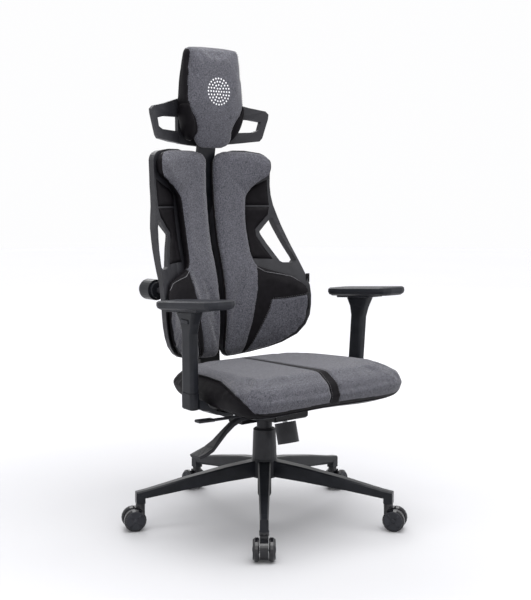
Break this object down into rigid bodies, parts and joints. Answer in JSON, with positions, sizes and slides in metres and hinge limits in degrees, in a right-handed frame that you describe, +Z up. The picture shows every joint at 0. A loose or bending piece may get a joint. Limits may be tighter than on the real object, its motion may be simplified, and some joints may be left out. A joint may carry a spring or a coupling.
{
  "type": "gaming chair",
  "caption": "Gaming chair with a split padded back, winged headrest, height-adjustable arms, tilting mechanism and gas lift, on a star base with twin-wheel casters.",
  "frame": {"origin": "on the floor, under the middle of the chair's bounding box; the gas column stands 6 mm to the sitter's right of it and 25.5 mm in front of it", "axes": "+Z up, the sitter faces -Y, +X is the sitter's left"},
  "size_m": [0.7654, 0.7424, 1.298],
  "materials": {
    "grey_fabric": "melange woven upholstery",
    "matte_black": "fine grain",
    "satin_black": "satin",
    "gloss_black": "smooth",
    "dark_grey": "satin",
    "soft_black": "soft-touch polyurethane",
    "painted_steel": "powder coat",
    "bright_steel": "ground"
  },
  "bodies": {
    "base": {"star_base": "satin_black", "gas_cylinder": "painted_steel", "column_cover_lower": "matte_black"},
    "caster_1": {"caster_housing_1": "gloss_black"},
    "caster_2": {"caster_housing_2": "gloss_black"},
    "caster_3": {"caster_housing_3": "gloss_black"},
    "caster_4": {"caster_housing_4": "gloss_black"},
    "caster_5": {"caster_housing_5": "gloss_black"},
    "wheels_1": {"caster_axle_1": "bright_steel", "caster_wheel_1a": "gloss_black", "caster_wheel_1b": "gloss_black"},
    "wheels_2": {"caster_axle_2": "bright_steel", "caster_wheel_2a": "gloss_black", "caster_wheel_2b": "gloss_black"},
    "wheels_3": {"caster_axle_3": "bright_steel", "caster_wheel_3a": "gloss_black", "caster_wheel_3b": "gloss_black"},
    "wheels_4": {"caster_axle_4": "bright_steel", "caster_wheel_4a": "gloss_black", "caster_wheel_4b": "gloss_black"},
    "wheels_5": {"caster_axle_5": "bright_steel", "caster_wheel_5a": "gloss_black", "caster_wheel_5b": "gloss_black"},
    "lift": {"gas_piston": "bright_steel", "column_cover_upper": "matte_black"},
    "mechanism": {"mechanism_housing": "painted_steel", "seat_pivot_pin": "bright_steel", "recline_pivot_pin": "bright_steel"},
    "tension": {"tension_knob": "matte_black", "tension_bolt": "bright_steel"},
    "gas_handle": {"gas_lever": "matte_black", "gas_lever_grip": "matte_black"},
    "tilt_handle": {"tilt_lever": "matte_black"},
    "seat": {"seat_plate": "painted_steel", "seat_shell": "dark_grey", "seat_cushion": "grey_fabric", "arm_bracket_left": "satin_black", "arm_bracket_right": "satin_black"},
    "arm_left": {"arm_post_left": "satin_black"},
    "arm_right": {"arm_post_right": "satin_black"},
    "button_left": {"arm_button_left": "dark_grey"},
    "button_right": {"arm_button_right": "dark_grey"},
    "arm_top_left": {"arm_pad_carrier_left": "dark_grey", "arm_pad_left": "soft_black"},
    "arm_top_right": {"arm_pad_carrier_right": "dark_grey", "arm_pad_right": "soft_black"},
    "back": {"back_bracket": "painted_steel", "spine": "satin_black", "rear_cross_bar": "satin_black", "pivot_housing_left": "satin_black", "pivot_housing_right": "satin_black"},
    "back_left": {"back_frame_left": "matte_black", "back_cushion_left": "grey_fabric"},
    "back_right": {"back_frame_right": "matte_black", "back_cushion_right": "grey_fabric"},
    "headrest_post": {"headrest_stem": "satin_black"},
    "headrest": {"headrest_pivot_pin": "bright_steel", "headrest_frame": "matte_black", "headrest_pad": "grey_fabric"}
  },
  "joints": [
    {"name": "caster_swivel_1", "type": "hinge", "parent": "base", "child": "caster_1", "pos_m": [-0.22736, -0.29403, 0.06], "axis": [0, 0, 1], "continuous": true},
    {"name": "caster_swivel_2", "type": "hinge", "parent": "base", "child": "caster_2", "pos_m": [0.18098, -0.319, 0.06], "axis": [0, 0, 1], "continuous": true},
    {"name": "caster_swivel_3", "type": "hinge", "parent": "base", "child": "caster_3", "pos_m": [0.33092, 0.06163, 0.06], "axis": [0, 0, 1], "continuous": true},
    {"name": "caster_swivel_4", "type": "hinge", "parent": "base", "child": "caster_4", "pos_m": [0.01524, 0.32185, 0.06], "axis": [0, 0, 1], "continuous": true},
    {"name": "caster_swivel_5", "type": "hinge", "parent": "base", "child": "caster_5", "pos_m": [-0.32979, 0.10204, 0.06], "axis": [0, 0, 1], "continuous": true},
    {"name": "caster_roll_1", "type": "hinge", "parent": "caster_1", "child": "wheels_1", "pos_m": [-0.2388, -0.30791, 0.03], "axis": [0.7716, -0.6361, 0], "continuous": true},
    {"name": "caster_roll_2", "type": "hinge", "parent": "caster_2", "child": "wheels_2", "pos_m": [0.19065, -0.33418, 0.03], "axis": [0.8434, 0.5373, 0], "continuous": true},
    {"name": "caster_roll_3", "type": "hinge", "parent": "caster_3", "child": "wheels_3", "pos_m": [0.34834, 0.06614, 0.03], "axis": [-0.2504, 0.9681, 0], "continuous": true},
    {"name": "caster_roll_4", "type": "hinge", "parent": "caster_4", "child": "wheels_4", "pos_m": [0.01634, 0.33982, 0.03], "axis": [-0.9981, 0.0611, 0], "continuous": true},
    {"name": "caster_roll_5", "type": "hinge", "parent": "caster_5", "child": "wheels_5", "pos_m": [-0.34653, 0.10864, 0.03], "axis": [-0.3665, -0.9304, 0], "continuous": true},
    {"name": "seat_lift", "type": "slide", "parent": "base", "child": "lift", "axis": [0, 0, 1], "range_m": [0, 0.075]},
    {"name": "seat_swivel", "type": "hinge", "parent": "lift", "child": "mechanism", "pos_m": [-0.006, -0.0255, 0.29], "axis": [0, 0, 1], "continuous": true},
    {"name": "back_recline", "type": "hinge", "parent": "mechanism", "child": "back", "pos_m": [-0.006, 0.0295, 0.284], "axis": [-1, 0, 0], "range_deg": [0, 24], "stiffness_Nm_per_rad": 70, "springref_deg": -20.05},
    {"name": "seat_tilt", "type": "hinge", "parent": "mechanism", "child": "seat", "pos_m": [-0.006, -0.1205, 0.308], "axis": [-1, 0, 0], "range_deg": [0, 6]},
    {"name": "tension_turn", "type": "hinge", "parent": "mechanism", "child": "tension", "pos_m": [-0.006, -0.1195, 0.257], "axis": [0, 0.2588, 0.9659], "range_deg": [-360, 360]},
    {"name": "gas_lever_pull", "type": "hinge", "parent": "mechanism", "child": "gas_handle", "pos_m": [-0.062, -0.0755, 0.307], "axis": [0, 1, 0], "range_deg": [0, 2.5], "stiffness_Nm_per_rad": 3, "springref_deg": -3.44},
    {"name": "tilt_lever_pull", "type": "hinge", "parent": "mechanism", "child": "tilt_handle", "pos_m": [-0.063, -0.0295, 0.292], "axis": [0, 1, 0], "range_deg": [0, 10]},
    {"name": "arm_height_left", "type": "slide", "parent": "seat", "child": "arm_left", "axis": [0.0349, -0.0384, 0.9987], "range_m": [0, 0.07]},
    {"name": "arm_height_right", "type": "slide", "parent": "seat", "child": "arm_right", "axis": [-0.0349, -0.0384, 0.9987], "range_m": [0, 0.07]},
    {"name": "arm_button_press_left", "type": "slide", "parent": "arm_left", "child": "button_left", "axis": [-0.9994, -0.0013, 0.0349], "range_m": [0, 0.003], "stiffness_N_per_m": 400, "springref_m": -0.001},
    {"name": "arm_button_press_right", "type": "slide", "parent": "arm_right", "child": "button_right", "axis": [0.9994, -0.0013, 0.0349], "range_m": [0, 0.003], "stiffness_N_per_m": 400, "springref_m": -0.001},
    {"name": "arm_pad_swivel_left", "type": "hinge", "parent": "arm_left", "child": "arm_top_left", "pos_m": [0.29, -0.0895, 0.599], "axis": [0, 0.0698, 0.9976], "range_deg": [-20, 20]},
    {"name": "arm_pad_swivel_right", "type": "hinge", "parent": "arm_right", "child": "arm_top_right", "pos_m": [-0.302, -0.0895, 0.599], "axis": [0, 0.0698, 0.9976], "range_deg": [-20, 20]},
    {"name": "back_flex_left", "type": "hinge", "parent": "back", "child": "back_left", "pos_m": [0.184, 0.1965, 0.626], "axis": [0, 0, 1], "range_deg": [0, 4], "stiffness_Nm_per_rad": 60, "springref_deg": -2.86},
    {"name": "back_flex_right", "type": "hinge", "parent": "back", "child": "back_right", "pos_m": [-0.196, 0.1965, 0.626], "axis": [0, 0, -1], "range_deg": [0, 4], "stiffness_Nm_per_rad": 60, "springref_deg": -2.86},
    {"name": "headrest_height", "type": "slide", "parent": "back", "child": "headrest_post", "axis": [0, -0.165, 0.9863], "range_m": [0, 0.05]},
    {"name": "headrest_tilt", "type": "hinge", "parent": "headrest_post", "child": "headrest", "pos_m": [-0.006, 0.2325, 1.056], "axis": [1, 0, 0], "range_deg": [-10, 15]}
  ],
  "couplings": [
    {"joint": "seat_tilt", "follows": "back_recline", "ratio": 0.25}
  ]
}
